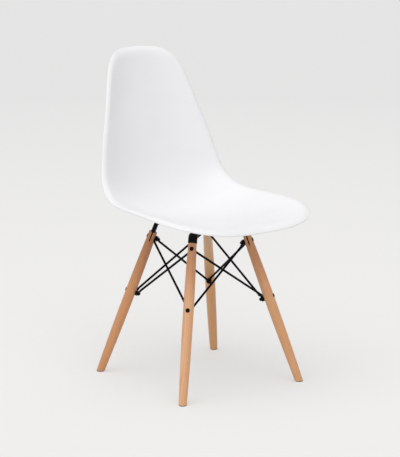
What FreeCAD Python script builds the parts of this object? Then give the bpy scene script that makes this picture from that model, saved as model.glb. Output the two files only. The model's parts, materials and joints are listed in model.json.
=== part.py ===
import FreeCAD, Part
import math
import os
import Sketcher
from FreeCAD import Placement, Rotation, Vector

# Moulded plastic shell chair: a one-piece white seat shell on four turned beech legs,
# carried by a cross of steel tube and braced by eight crossed rods.
# Millimetres. Z is up, the sitter faces -Y and the sitter's left hand is at +X.
# The origin is on the floor, under the middle of the chair's overall width and depth.

doc = FreeCAD.newDocument("shell_chair")

# Driving dimensions

DIMENSIONS = [
    ("stance_angle", 45.0, "direction of the left legs from the side axis, degrees"),
    ("stance_back", -18.5, "centre of the four legs, along the depth"),
    ("foot_radius", 259.7, "chair centre to the middle of a foot on the floor"),
    ("top_radius", 120.2, "chair centre to the middle of a leg's top end"),
    ("leg_top_height", 377.0, "floor to the top end of a leg on its axis"),
    ("leg_foot_r", 9.8, "leg radius at the foot"),
    ("leg_waist_r", 13.25, "leg radius at the lower bolt, its thickest place"),
    ("leg_head_r", 10.3, "leg radius at the top end"),
    ("leg_edge", 1.0, "chamfer round the top end of a leg"),
    ("glide_height", 2.0, "thickness of the glide under a foot"),
    ("glide_r", 9.8, "glide radius"),
    ("nail_r", 1.1, "glide nail shank radius"),
    ("nail_head_r", 3.4, "glide nail head radius"),
    ("nail_length", 15.0, "glide nail below its head"),
    ("nail_seat", 0.9, "depth of the countersink for a nail head"),
    ("upper_bolt_drop", 14.9, "leg top down to the upper bolt"),
    ("bolt_spacing", 154.0, "upper bolt to lower bolt along the leg"),
    ("bolt_r", 2.5, "bolt shank radius"),
    ("bolt_play", 0.2, "clearance round a bolt in its holes"),
    ("bolt_head_r", 5.4, "bolt head radius"),
    ("bolt_head_height", 2.2, "bolt head height"),
    ("head_recess", 0.8, "depth of the spot face under a bolt head"),
    ("washer_r", 6.0, "leg washer radius"),
    ("washer_height", 1.2, "leg washer thickness"),
    ("washer_recess", 0.6, "depth of the spot face under a leg washer"),
    ("spot_play", 0.3, "clearance round a head or washer in its spot face"),
    ("nut_flats", 8.0, "cap nut across flats"),
    ("nut_height", 6.2, "cap nut height with its dome"),
    ("nut_thread", 4.4, "bolt length inside the cap nut"),
    ("rod_r", 2.85, "brace rod radius"),
    ("eye_r", 7.0, "flattened rod eye radius"),
    ("eye_height", 2.6, "flattened rod eye thickness"),
    ("eye_gap", 1.2, "washer between the two eyes on one bolt"),
    ("eye_neck", 6.2, "bolt axis to the place where an eye runs into its rod"),
    ("eye_reach", 10.4, "bolt axis to the place where the rod is round again"),
    ("rod_knee", 13.4, "bolt axis to the knee of a rod"),
    ("rod_knee_r", 6.0, "bend radius of a rod's knee"),
    ("outer_shift", 0.3, "outer rod's axis beyond the middle of its eyes, away from the leg"),
    ("inner_shift", 4.8, "inner rod's axis beyond the middle of its eyes, away from the leg"),
    ("slot_width", 3.4, "saw slot in the leg top"),
    ("slot_depth", 26.0, "depth of the saw slot"),
    ("tongue_height", 3.0, "thickness of the frame tongue in the slot"),
    ("tongue_width", 18.6, "width of the frame tongue"),
    ("tongue_depth", 24.0, "length of the frame tongue in the slot"),
    ("plug_depth", 5.0, "length of the tongue's plug inside the frame tube"),
    ("tube_width", 22.0, "frame tube width"),
    ("tube_height", 10.0, "frame tube height"),
    ("tube_wall", 1.5, "frame tube wall"),
    ("tube_corner", 1.4, "outer corner radius of the frame tube"),
    ("tube_bend", 12.0, "bend radius of the frame tube on its middle line"),
    ("bar_rise", 15.5, "leg top up to the middle of the lower bar"),
    ("rivet_r", 3.0, "centre rivet radius"),
    ("rivet_head_r", 6.5, "centre rivet head radius"),
    ("rivet_head_height", 2.4, "centre rivet head height"),
    ("seat_screw_circle", 78.0, "chair centre to a seat screw"),
    ("seat_screw_r", 3.0, "seat screw radius"),
    ("seat_screw_play", 0.3, "clearance round a seat screw"),
    ("screw_head_r", 5.6, "seat screw head radius"),
    ("screw_head_height", 3.6, "seat screw head height"),
    ("screw_socket", 4.0, "seat screw socket across flats"),
    ("screw_washer_r", 8.0, "seat screw washer radius"),
    ("screw_washer_height", 1.4, "seat screw washer thickness"),
    ("thin_spacer", 4.5, "upper bar to the lower face of the shell's bosses"),
    ("boss_r", 12.0, "shell boss radius at its lower face"),
    ("boss_draft", 1.5, "growth of the boss radius up to the shell"),
    ("insert_r", 4.6, "threaded insert radius"),
    ("insert_length", 8.5, "threaded insert length"),
    ("spacer_r", 11.0, "rubber spacer radius"),
    ("gusset_reach", 27.0, "boss axis to the toe of a gusset"),
    ("gusset_width", 3.0, "gusset thickness"),
    ("gusset_toe", 0.5, "height of a gusset below the wall at its toe"),
    ("gusset_setback", 1.5, "boss face up to the lower edge of a gusset"),
    ("shell_wall", 4.8, "shell wall thickness"),
    ("lip_width", 17.0, "width of the outward curl along the shell's edge"),
    ("lip_drop", 9.5, "how far the curl falls below the run of the wall"),
    ("dish_power", 2.6, "how flat the dish stays before it climbs to the edge"),
    ("dish_centre", 272.0, "front edge to the deepest place, along the shell"),
    ("gate_r", 4.0, "radius of the flat at the moulding gate"),
    ("cut_past", 1.0, "how far a cutting tool starts outside the face it cuts"),
]

sheet = doc.addObject("Spreadsheet::Sheet", "Dims")
for row, (alias, number, note) in enumerate(DIMENSIONS, start=1):
    sheet.set(f"A{row}", note)
    sheet.set(f"B{row}", str(number))
    sheet.setAlias(f"B{row}", alias)

# Centre line of the seat and back, front edge to top edge: place along the depth, and height
# above the lower face of the bosses.
CENTRE_LINE = [
    (-272, 10),
    (-200, 16),
    (-85, 14),
    (30, 10.5),
    (106, 23),
    (160, 60),
    (190, 118),
    (217, 208),
    (245, 310),
    (274.6, 412),
]

# Edge of the shell on one side: distance from the front edge along the centre line,
# half width there, and rise of the edge above the centre line, square to it.
EDGE = [
    (0, 0, 0),
    (4, 110, 4),
    (34, 179, 13),
    (94, 216, 20.5),
    (165, 224.5, 28),
    (256, 220, 34),
    (350, 208.5, 35.5),
    (469, 190, 36),
    (583, 165, 37),
    (690, 134, 33),
    (762, 111, 27),
    (797, 85, 18),
    (815, 38, 3),
    (817.5, 0, 0),
]

for row, (depth, height) in enumerate(CENTRE_LINE, start=1):
    sheet.set(f"D{row}", str(depth))
    sheet.setAlias(f"D{row}", f"line_depth_{row}")
    sheet.set(f"E{row}", str(height))
    sheet.setAlias(f"E{row}", f"line_height_{row}")
for row, (along, half_width, rise) in enumerate(EDGE, start=1):
    sheet.set(f"G{row}", str(along))
    sheet.setAlias(f"G{row}", f"edge_along_{row}")
    sheet.set(f"H{row}", str(half_width))
    sheet.setAlias(f"H{row}", f"edge_half_width_{row}")
    sheet.set(f"I{row}", str(rise))
    sheet.setAlias(f"I{row}", f"edge_rise_{row}")
doc.recompute()


def dim(text):
    """Expression text with each dimension's name pointed at the sheet."""
    for alias, _, _ in sorted(DIMENSIONS, key=lambda entry: -len(entry[0])):
        text = text.replace(f"<{alias}>", f"Dims.{alias}")
    return text


def size(text):
    """Value of an expression, in millimetres or degrees."""
    result = sheet.evalExpression(dim(text))
    return float(getattr(result, "Value", result))


# Sizes that follow from the driving dimensions, as expressions

TILT = "atan((<foot_radius> - <top_radius>) / <leg_top_height>)"
LEG_LENGTH = f"(<leg_top_height> / cos({TILT}))"
UPPER_BOLT = f"({LEG_LENGTH} - <upper_bolt_drop>)"
LOWER_BOLT = f"({UPPER_BOLT} - <bolt_spacing>)"
HEAD_SPAN = f"(({LEG_LENGTH} - {LOWER_BOLT}) ^ 2)"
HEAD_ARC = f"(({HEAD_SPAN} + (<leg_waist_r> - <leg_head_r>) ^ 2) / 2 / (<leg_waist_r> - <leg_head_r>))"
LEG_R_UPPER = f"(<leg_waist_r> - {HEAD_ARC} + sqrt({HEAD_ARC} ^ 2 - <bolt_spacing> ^ 2))"
STACK = "(<washer_height> - <washer_recess> + 2 * <eye_height> + <eye_gap>)"
LOWER_BAR = "(<leg_top_height> + <bar_rise>)"
UPPER_BAR = f"({LOWER_BAR} + <tube_height>)"
BOSS_FACE = f"({UPPER_BAR} + <tube_height> / 2 + <thin_spacer>)"
BORE_R = "(<bolt_r> + <bolt_play>)"

tilt = size(TILT)
stance = Vector(0, size("<stance_back>"), 0)
corner_angle = size("<stance_angle>")
CORNERS = {
    "front_right": 180 + corner_angle,
    "front_left": -corner_angle,
    "rear_left": corner_angle,
    "rear_right": 180 - corner_angle,
}


# Drawing helpers


def new_body(name):
    body = doc.addObject("PartDesign::Body", name)
    body.Label = name
    return body


def origin_plane(body, role):
    return [feature for feature in body.Origin.OriginFeatures if feature.Role == role][0]


def new_sketch(body, name, plane, shift=None):
    """Sketch on one of the body's own origin planes, moved along its normal by an expression."""
    sketch = body.newObject("Sketcher::SketchObject", name)
    sketch.AttachmentSupport = [(origin_plane(body, plane), "")]
    sketch.MapMode = "FlatFace"
    if shift:
        sketch.setExpression("AttachmentOffset.Base.z", dim(shift))
    return sketch


def hold(sketch, kind, geometry, point, text):
    """Ties one coordinate of a sketch point to an expression."""
    value = size(text)
    axis = -2 if kind == "DistanceX" else -1
    if abs(value) < 1e-9:
        sketch.addConstraint(Sketcher.Constraint("PointOnObject", geometry, point, axis))
        return
    if value > 0:
        made = Sketcher.Constraint(kind, -1, 1, geometry, point, value)
        bound = text
    else:
        made = Sketcher.Constraint(kind, geometry, point, -1, 1, -value)
        bound = f"-({text})"
    index = sketch.addConstraint(made)
    sketch.setExpression(f"Constraints[{index}]", dim(bound))


def polygon(sketch, corners):
    """Closed outline through corners given as pairs of expressions."""
    points = [Vector(size(x), size(y), 0) for x, y in corners]
    count = len(points)
    first = None
    for i in range(count):
        line = Part.LineSegment(points[i], points[(i + 1) % count])
        index = sketch.addGeometry(line, False)
        if first is None:
            first = index
    for i in range(count):
        following = first + (i + 1) % count
        sketch.addConstraint(Sketcher.Constraint("Coincident", first + i, 2, following, 1))
    for i, (x, y) in enumerate(corners):
        hold(sketch, "DistanceX", first + i, 1, x)
        hold(sketch, "DistanceY", first + i, 1, y)
    return first


def rectangle(sketch, left, bottom, right, top):
    return polygon(sketch, [(left, bottom), (right, bottom), (right, top), (left, top)])


def circle(sketch, x, y, radius):
    made = Part.Circle(Vector(size(x), size(y), 0), Vector(0, 0, 1), size(radius))
    index = sketch.addGeometry(made, False)
    hold(sketch, "DistanceX", index, 3, x)
    hold(sketch, "DistanceY", index, 3, y)
    bound = sketch.addConstraint(Sketcher.Constraint("Radius", index, size(radius)))
    sketch.setExpression(f"Constraints[{bound}]", dim(radius))
    return index


def hexagon(sketch, flats):
    """Regular hexagon round the origin, two flats parallel to the sketch's X axis."""
    half = f"({flats} / 2)"
    reach = f"({flats} / 2 / cos(30))"
    polygon(sketch, [
        (reach, "0"),
        (f"({reach} / 2)", half),
        (f"(-{reach} / 2)", half),
        (f"(-{reach})", "0"),
        (f"(-{reach} / 2)", f"(-{half})"),
        (f"({reach} / 2)", f"(-{half})"),
    ])


def pad(body, sketch, length, both_ways=False, reverse=False):
    feature = body.newObject("PartDesign::Pad", sketch.Name + "_pad")
    feature.Profile = sketch
    feature.setExpression("Length", dim(length))
    feature.Midplane = both_ways
    feature.Reversed = reverse
    sketch.Visibility = False
    return feature


def pocket(body, sketch, length, both_ways=False, reverse=False):
    feature = body.newObject("PartDesign::Pocket", sketch.Name + "_pocket")
    feature.Profile = sketch
    feature.setExpression("Length", dim(length))
    feature.Midplane = both_ways
    feature.Reversed = reverse
    return feature


def revolve(body, sketch, cut=False):
    """Full turn round the sketch's vertical axis."""
    kind = "PartDesign::Groove" if cut else "PartDesign::Revolution"
    feature = body.newObject(kind, sketch.Name + "_turn")
    feature.Profile = sketch
    feature.ReferenceAxis = (sketch, ["V_Axis"])
    feature.Angle = 360
    return feature


def instance(name, master, placement):
    """A placed copy of a finished piece."""
    copy = doc.addObject("Part::Feature", name)
    copy.Label = name
    copy.Shape = master.Shape.copy()
    copy.Placement = placement
    return copy


def group(name, members):
    """Identical pieces kept together under one name."""
    made = doc.addObject("Part::Compound", name)
    made.Label = name
    made.Links = members
    return made


def stance_place(angle, radius=0.0, height=0.0):
    """Upright place round the chair's centre, local X pointing outwards."""
    turn = Rotation(Vector(0, 0, 1), angle)
    return Placement(stance + turn.multVec(Vector(radius, 0, height)), turn)


def leg_place(angle):
    """A leg's own frame: origin under the foot, Z up the leg, X out along its bolts."""
    lean = Placement(Vector(), Rotation(Vector(0, 1, 0), -tilt))
    return stance_place(angle, size("<foot_radius>")) * lean


# Seat shell
#
# The shell is drawn flat first: each place on it has a distance along the centre line,
# a distance to the side and a rise. Rings run round the shell at set fractions of the way
# from its deepest place to its edge. The dish climbs as a power of that fraction, and the
# last stretch curls over into the lip. The net of rings on the upper face, turned round the
# edge and back along the lower face, makes one smooth closed skin, in two halves that meet
# at the edge.

RING_COUNT = 48
OPEN_RINGS = (0.16, 0.34, 0.52, 0.68, 0.81, 0.90)
LIP_RINGS = (1.25, 0.8, 0.42, 0.14, 0.0)

wall = size("<shell_wall>")
lip_width = size("<lip_width>")
lip_drop = size("<lip_drop>")
dish_power = size("<dish_power>")
dish_centre = size("<dish_centre>")

line_count = len(CENTRE_LINE)
boss_face = size(BOSS_FACE)
line_points = [
    Vector(0, size(f"Dims.line_depth_{i}"), boss_face + size(f"Dims.line_height_{i}"))
    for i in range(1, line_count + 1)
]
centre_line = Part.BSplineCurve()
centre_line.interpolate(Points=line_points)
centre_length = centre_line.length()

edge_count = len(EDGE)
edge_side = [
    Vector(
        size(f"Dims.edge_along_{i}"),
        size(f"Dims.edge_half_width_{i}"),
        size(f"Dims.edge_rise_{i}"),
    )
    for i in range(1, edge_count + 1)
]
edge_mirror = [Vector(p.x, -p.y, p.z) for p in reversed(edge_side[1:-1])]
edge_curve = Part.BSplineCurve()
edge_curve.interpolate(Points=edge_side + edge_mirror, PeriodicFlag=True)


def on_centre_line(along):
    """Point, direction and inward normal at a distance along the centre line."""
    held = min(max(along, 0.0), centre_length)
    parameter = centre_line.parameterAtDistance(held, centre_line.FirstParameter)
    direction = Vector(*centre_line.tangent(parameter)[0])
    normal = Vector(0, -direction.z, direction.y)
    point = centre_line.value(parameter) + direction * (along - held)
    return point, direction, normal


def shell_point(fraction, edge):
    """Middle of the wall at a fraction of the way to a place on the edge."""
    along = dish_centre + fraction * (edge.x - dish_centre)
    reach = math.hypot(edge.x - dish_centre, edge.y)
    to_edge = (1 - fraction) * reach
    curl = max(0.0, 1 - to_edge / lip_width)
    rise = (edge.z + lip_drop) * fraction ** dish_power - lip_drop * curl ** 2
    point, _, normal = on_centre_line(along)
    return point + normal * rise + Vector(fraction * edge.y, 0, 0)


def shell_normal(fraction, parameter):
    """Normal of the wall on the sitter's side."""
    step = 0.002
    turn = 0.5
    outer = min(1.0, fraction + step)
    edge = edge_curve.value(parameter)
    outwards = shell_point(outer, edge) - shell_point(outer - 2 * step, edge)
    span = edge_curve.LastParameter - edge_curve.FirstParameter
    before = edge_curve.value((parameter - turn) % span)
    after = edge_curve.value((parameter + turn) % span)
    around = shell_point(fraction, after) - shell_point(fraction, before)
    return outwards.cross(around).normalize()


def net_through(points):
    """Control points of the closed uniform cubic curve through the given points."""
    count = len(points)
    net = list(points)
    for _ in range(40):
        held = [
            (net[i - 1] + net[i] * 4 + net[(i + 1) % count]) / 6
            for i in range(count)
        ]
        net = [net[i] + points[i] - held[i] for i in range(count)]
    return net


def shell_skin():
    """Closed solid of the bare shell."""
    span = edge_curve.LastParameter - edge_curve.FirstParameter
    parameters = [span * i / RING_COUNT for i in range(RING_COUNT)]
    edges = [edge_curve.value(p) for p in parameters]
    centre, direction, normal = on_centre_line(dish_centre)
    gate_r = size("<gate_r>")
    upper = []
    lower = []

    def add_ring(points, normals):
        upper.append(net_through([p + n * wall / 2 for p, n in zip(points, normals)]))
        lower.append(net_through([p - n * wall / 2 for p, n in zip(points, normals)]))

    flat = []
    for edge in edges:
        reach = math.hypot(edge.x - dish_centre, edge.y)
        away = direction * (edge.x - dish_centre) + Vector(edge.y, 0, 0)
        flat.append(centre + away * (gate_r / reach))
    add_ring(flat, [normal] * RING_COUNT)
    for fraction in OPEN_RINGS:
        points = [shell_point(fraction, edge) for edge in edges]
        add_ring(points, [shell_normal(fraction, p) for p in parameters])
    for lip_part in LIP_RINGS:
        points = []
        normals = []
        for edge, parameter in zip(edges, parameters):
            reach = math.hypot(edge.x - dish_centre, edge.y)
            fraction = 1 - lip_part * lip_width / reach
            points.append(shell_point(fraction, edge))
            normals.append(shell_normal(fraction, parameter))
        add_ring(points, normals)

    rows = upper + lower[::-1]
    row_knots = list(range(len(rows) - 2))
    surface = Part.BSplineSurface()
    surface.buildFromPolesMultsKnots(
        rows,
        [4] + [1] * (len(row_knots) - 2) + [4],
        [1] * (RING_COUNT + 1),
        row_knots,
        list(range(RING_COUNT + 1)),
        False,
        True,
        3,
        3,
    )
    last = row_knots[-1]
    faces = []
    for low, high in ((0, last / 2), (last / 2, last)):
        half = surface.copy()
        half.segment(low, high, 0, RING_COUNT)
        faces.append(half.toShape())
    for end in (0, last):
        faces.append(Part.Face(Part.Wire([surface.uIso(end).toShape()])))
    faces[-1].reverse()
    shell = Part.makeShell(faces)
    shell.sewShape()
    return Part.Solid(shell)


skin = doc.addObject("Part::Feature", "shell_skin")
skin.Shape = shell_skin()


def wall_heights(x, y):
    """Lowest and highest height of the shell's wall over a place on the plan."""
    plumb = Part.makeLine(Vector(x, y, boss_face - 100), Vector(x, y, boss_face + 150))
    inside = plumb.common(skin.Shape)
    return inside.BoundBox.ZMin, inside.BoundBox.ZMax


def gusset(centre, direction):
    """Sloping rib from a boss out along the shell, rooted in the middle of the wall."""
    reach = size("<gusset_reach>")
    half = size("<gusset_width>") / 2
    toe = centre + direction * reach
    root_low, root_high = wall_heights(centre.x, centre.y)
    toe_low, toe_high = wall_heights(toe.x, toe.y)
    side = Vector(-direction.y, direction.x, 0)
    outline = [
        (0, (root_low + root_high) / 2),
        (reach, (toe_low + toe_high) / 2),
        (reach, toe_low - size("<gusset_toe>")),
        (size("<boss_r>"), boss_face + size("<gusset_setback>")),
        (0, boss_face + size("<gusset_setback>")),
    ]
    points = [
        Vector(centre.x, centre.y, height) + direction * out - side * half
        for out, height in outline
    ]
    face = Part.Face(Part.makePolygon(points + points[:1]))
    return face.extrude(side * 2 * half)


boss_places = {
    corner: stance_place(angle, size("<seat_screw_circle>"))
    for corner, angle in CORNERS.items()
}
shell_parts = [skin]
shell_holes = []
for corner, place in boss_places.items():
    low, high = wall_heights(place.Base.x, place.Base.y)
    boss_foot = Vector(place.Base.x, place.Base.y, boss_face)
    boss = doc.addObject("Part::Cone", f"boss_{corner}")
    boss.setExpression("Radius1", dim("<boss_r>"))
    boss.setExpression("Radius2", dim("<boss_r> + <boss_draft>"))
    boss.Height = (low + high) / 2 - boss_foot.z
    boss.Placement = Placement(boss_foot, place.Rotation)
    ribs = []
    for quarter in range(4):
        direction = Rotation(Vector(0, 0, 1), 90 * quarter).multVec(Vector(1, 0, 0))
        rib = doc.addObject("Part::Feature", f"gusset_{corner}_{quarter}")
        rib.Shape = gusset(place.Base, place.Rotation.multVec(direction))
        ribs.append(rib)
    ribbed_boss = doc.addObject("Part::MultiFuse", f"ribbed_boss_{corner}")
    ribbed_boss.Shapes = [boss] + ribs
    shell_parts.append(ribbed_boss)
    hole = doc.addObject("Part::Cylinder", f"insert_hole_{corner}")
    hole.setExpression("Radius", dim("<insert_r>"))
    hole.setExpression("Height", dim("<insert_length> + <cut_past>"))
    hole.Placement = Placement(boss_foot - Vector(0, 0, size("<cut_past>")), place.Rotation)
    shell_holes.append(hole)
shell_blank = doc.addObject("Part::MultiFuse", "shell_blank")
shell_blank.Shapes = shell_parts
shell_hole_set = doc.addObject("Part::MultiFuse", "shell_hole_set")
shell_hole_set.Shapes = shell_holes
seat_shell = doc.addObject("Part::Cut", "seat_shell")
seat_shell.Label = "seat_shell"
seat_shell.Base = shell_blank
seat_shell.Tool = shell_hole_set
doc.recompute()

# Leg

leg_body = new_body("leg_turning")
outline = new_sketch(leg_body, "leg_outline", "XZ_Plane")
below = "(-10)"
leg_edge_low = f"({LEG_LENGTH} - <leg_edge>)"
vertices = [
    ("0", below),
    ("<leg_foot_r>", below),
    ("<leg_waist_r>", LOWER_BOLT),
    ("<leg_head_r>", leg_edge_low),
    ("(<leg_head_r> - <leg_edge>)", LEG_LENGTH),
    ("0", LEG_LENGTH),
]
at = [Vector(size(x), size(y), 0) for x, y in vertices]


def long_arc(end, waist):
    """Arc of a leg's side that runs straight up at the waist."""
    radius = ((end.y - waist.y) ** 2 + (waist.x - end.x) ** 2) / 2 / (waist.x - end.x)
    centre = Vector(waist.x - radius, waist.y, 0)
    sweep = math.asin((end.y - waist.y) / radius)
    made = Part.Circle(centre, Vector(0, 0, 1), radius)
    return Part.ArcOfCircle(made, min(sweep, 0), max(sweep, 0))


outline.addGeometry(Part.LineSegment(at[0], at[1]), False)
outline.addGeometry(long_arc(at[1], at[2]), False)
outline.addGeometry(long_arc(at[3], at[2]), False)
outline.addGeometry(Part.LineSegment(at[3], at[4]), False)
outline.addGeometry(Part.LineSegment(at[4], at[5]), False)
outline.addGeometry(Part.LineSegment(at[5], at[0]), False)
for first in range(6):
    outline.addConstraint(Sketcher.Constraint("Coincident", first, 2, (first + 1) % 6, 1))
for index, (x, y) in enumerate(vertices):
    hold(outline, "DistanceX", index, 1, x)
    hold(outline, "DistanceY", index, 1, y)
hold(outline, "DistanceY", 1, 3, LOWER_BOLT)
hold(outline, "DistanceY", 2, 3, LOWER_BOLT)
revolve(leg_body, outline)

# The foot is sawn level, at the top of the glide
floor_cut = new_sketch(leg_body, "floor_cut", "XZ_Plane")
wide = "30"
deep = "(-60)"
polygon(floor_cut, [
    (f"(-{wide})", deep),
    (wide, deep),
    (wide, f"((<glide_height> - {wide} * sin({TILT})) / cos({TILT}))"),
    (f"(-{wide})", f"((<glide_height> + {wide} * sin({TILT})) / cos({TILT}))"),
])
pocket(leg_body, floor_cut, "80", both_ways=True)

slot = new_sketch(leg_body, "slot", "XZ_Plane")
rectangle(
    slot,
    "(-<slot_width> / 2)",
    f"({LEG_LENGTH} - <slot_depth>)",
    "(<slot_width> / 2)",
    f"({LEG_LENGTH} + 2)",
)
pocket(leg_body, slot, "80", both_ways=True)

bores = new_sketch(leg_body, "bolt_bores", "YZ_Plane")
circle(bores, "0", UPPER_BOLT, BORE_R)
circle(bores, "0", LOWER_BOLT, BORE_R)
pocket(leg_body, bores, "80", both_ways=True)

# Spot faces: outside under the bolt head, inside under the washer
SPOT_FACES = [
    ("upper_head_face", UPPER_BOLT, f"({LEG_R_UPPER} - <head_recess>)", "<bolt_head_r>"),
    ("lower_head_face", LOWER_BOLT, "(<leg_waist_r> - <head_recess>)", "<bolt_head_r>"),
    ("upper_washer_face", UPPER_BOLT, f"(<washer_recess> - {LEG_R_UPPER})", "<washer_r>"),
    ("lower_washer_face", LOWER_BOLT, "(<washer_recess> - <leg_waist_r>)", "<washer_r>"),
]
for name, height, place, radius in SPOT_FACES:
    face = new_sketch(leg_body, name, "YZ_Plane", place)
    circle(face, "0", height, f"({radius} + <spot_play>)")
    pocket(leg_body, face, "10", reverse=size(place) > 0)

# Hole for the glide's nail, square to the floor
nail_hole = new_sketch(leg_body, "nail_hole", "XZ_Plane")
NAIL_TOP = "(<glide_height> + <nail_length>)"


def upright(out, up):
    """Sketch place of a point given out from the foot's middle and up from the floor."""
    across = f"(({out}) * cos({TILT}) + ({up}) * sin({TILT}))"
    along = f"(({up}) * cos({TILT}) - ({out}) * sin({TILT}))"
    return across, along


polygon(nail_hole, [
    upright("0", "-1"),
    upright("<nail_r> + 0.1", "-1"),
    upright("<nail_r> + 0.1", NAIL_TOP),
    upright("0", NAIL_TOP),
])
axis_ends = [Vector(size(x), size(y), 0) for x, y in (upright("0", "-1"), upright("0", NAIL_TOP))]
axis = nail_hole.addGeometry(Part.LineSegment(*axis_ends), True)
nail_hole.addConstraint(Sketcher.Constraint("Coincident", axis, 1, 0, 1))
nail_hole.addConstraint(Sketcher.Constraint("Coincident", axis, 2, 3, 1))
nail_bore = leg_body.newObject("PartDesign::Groove", "nail_bore")
nail_bore.Profile = nail_hole
nail_bore.ReferenceAxis = (nail_hole, ["Axis0"])
nail_bore.Angle = 360
doc.recompute()

# Glide under the foot, with a countersunk seat for its nail
glide_body = new_body("glide_disc")
disc = new_sketch(glide_body, "glide_outline", "XZ_Plane")
polygon(disc, [
    ("(<nail_r> + 0.1)", "<glide_height>"),
    ("(<nail_r> + 0.1)", "<nail_seat>"),
    ("(<nail_head_r> + 0.3)", "<nail_seat>"),
    ("(<nail_head_r> + 0.3)", "0"),
    ("(<glide_r> - 0.5)", "0"),
    ("<glide_r>", "0.5"),
    ("<glide_r>", "<glide_height>"),
])
revolve(glide_body, disc)

nail_body = new_body("nail")
pin = new_sketch(nail_body, "nail_outline", "XZ_Plane")
polygon(pin, [
    ("0", "0.2"),
    ("<nail_head_r>", "0.2"),
    ("<nail_head_r>", "<nail_seat>"),
    ("<nail_r>", "<nail_seat>"),
    ("<nail_r>", f"({NAIL_TOP} - 2)"),
    ("0", f"({NAIL_TOP} - 0.4)"),
])
revolve(nail_body, pin)
doc.recompute()

# Bolt, washer and cap nut, all lying along the X axis of the leg's frame


def bolt_body(name, leg_r):
    """Round-headed bolt through a leg of the given radius, its rod eyes and its cap nut."""
    body = new_body(name)
    under_head = f"({leg_r} - <head_recess>)"
    shank_end = f"(-({leg_r} + {STACK} + <nut_thread>))"
    half = new_sketch(body, name + "_outline", "XZ_Plane")
    polygon(half, [
        (shank_end, "0"),
        (f"({under_head} + <bolt_head_height>)", "0"),
        (f"({under_head} + <bolt_head_height>)", "(<bolt_head_r> * 0.45)"),
        (f"({under_head} + <bolt_head_height> * 0.78)", "(<bolt_head_r> * 0.8)"),
        (f"({under_head} + <bolt_head_height> * 0.4)", "<bolt_head_r>"),
        (under_head, "<bolt_head_r>"),
        (under_head, "<bolt_r>"),
        (f"({shank_end} + 0.5)", "<bolt_r>"),
        (shank_end, "(<bolt_r> - 0.5)"),
    ])
    turn = body.newObject("PartDesign::Revolution", name + "_turn")
    turn.Profile = half
    turn.ReferenceAxis = (half, ["H_Axis"])
    turn.Angle = 360
    return body


upper_bolt_body = bolt_body("upper_bolt", LEG_R_UPPER)
lower_bolt_body = bolt_body("lower_bolt", "<leg_waist_r>")

washer_body = new_body("washer")
ring = new_sketch(washer_body, "washer_outline", "YZ_Plane")
circle(ring, "0", "0", "<washer_r>")
circle(ring, "0", "0", BORE_R)
pad(washer_body, ring, "<washer_height>", reverse=True)

eye_washer_body = new_body("eye_washer")
ring = new_sketch(eye_washer_body, "eye_washer_outline", "YZ_Plane")
circle(ring, "0", "0", "(<washer_r> - 0.8)")
circle(ring, "0", "0", BORE_R)
pad(eye_washer_body, ring, "<eye_gap>", reverse=True)

# The cap nut's open face is at X = 0 and its dome points to -X
nut_body = new_body("cap_nut")
flats = new_sketch(nut_body, "nut_flats_outline", "YZ_Plane")
hexagon(flats, "<nut_flats>")
pad(nut_body, flats, "(<nut_height> * 0.62)", reverse=True)
dome = new_sketch(nut_body, "nut_dome_outline", "XZ_Plane")
polygon(dome, [
    ("(-<nut_height> * 0.5)", "0"),
    ("(-<nut_height> * 0.5)", "(<nut_flats> * 0.47)"),
    ("(-<nut_height> * 0.7)", "(<nut_flats> * 0.45)"),
    ("(-<nut_height> * 0.88)", "(<nut_flats> * 0.34)"),
    ("(-<nut_height> * 0.98)", "(<nut_flats> * 0.18)"),
    ("(-<nut_height>)", "0"),
])
cap = nut_body.newObject("PartDesign::Revolution", "nut_dome")
cap.Profile = dome
cap.ReferenceAxis = (dome, ["H_Axis"])
cap.Angle = 360
thread = new_sketch(nut_body, "nut_thread_outline", "YZ_Plane")
circle(thread, "0", "0", "(<bolt_r> + 0.1)")
pocket(nut_body, thread, "(<nut_thread> + 0.3)")
doc.recompute()

# Tongue: the flat plate that joins a leg to the frame. Its plug closes the tube's end.
tongue_body = new_body("tongue")
plug = new_sketch(tongue_body, "plug_outline", "XY_Plane", LEG_LENGTH)
rectangle(
    plug,
    "(<tube_wall> - <tube_height> / 2)",
    "(-<tongue_width> / 2)",
    "(<tube_height> / 2 - <tube_wall>)",
    "(<tongue_width> / 2)",
)
pad(tongue_body, plug, "<plug_depth>")
plate = new_sketch(tongue_body, "plate_outline", "XY_Plane", LEG_LENGTH)
rectangle(
    plate,
    "(-<tongue_height> / 2)",
    "(-<tongue_width> / 2)",
    "(<tongue_height> / 2)",
    "(<tongue_width> / 2)",
)
pad(tongue_body, plate, "<tongue_depth>", reverse=True)
eye = new_sketch(tongue_body, "tongue_bore", "YZ_Plane")
circle(eye, "0", UPPER_BOLT, BORE_R)
pocket(tongue_body, eye, "20", both_ways=True)
doc.recompute()


# Frame bars: one length of flat tube from leg to leg, bent down at both ends


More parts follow.
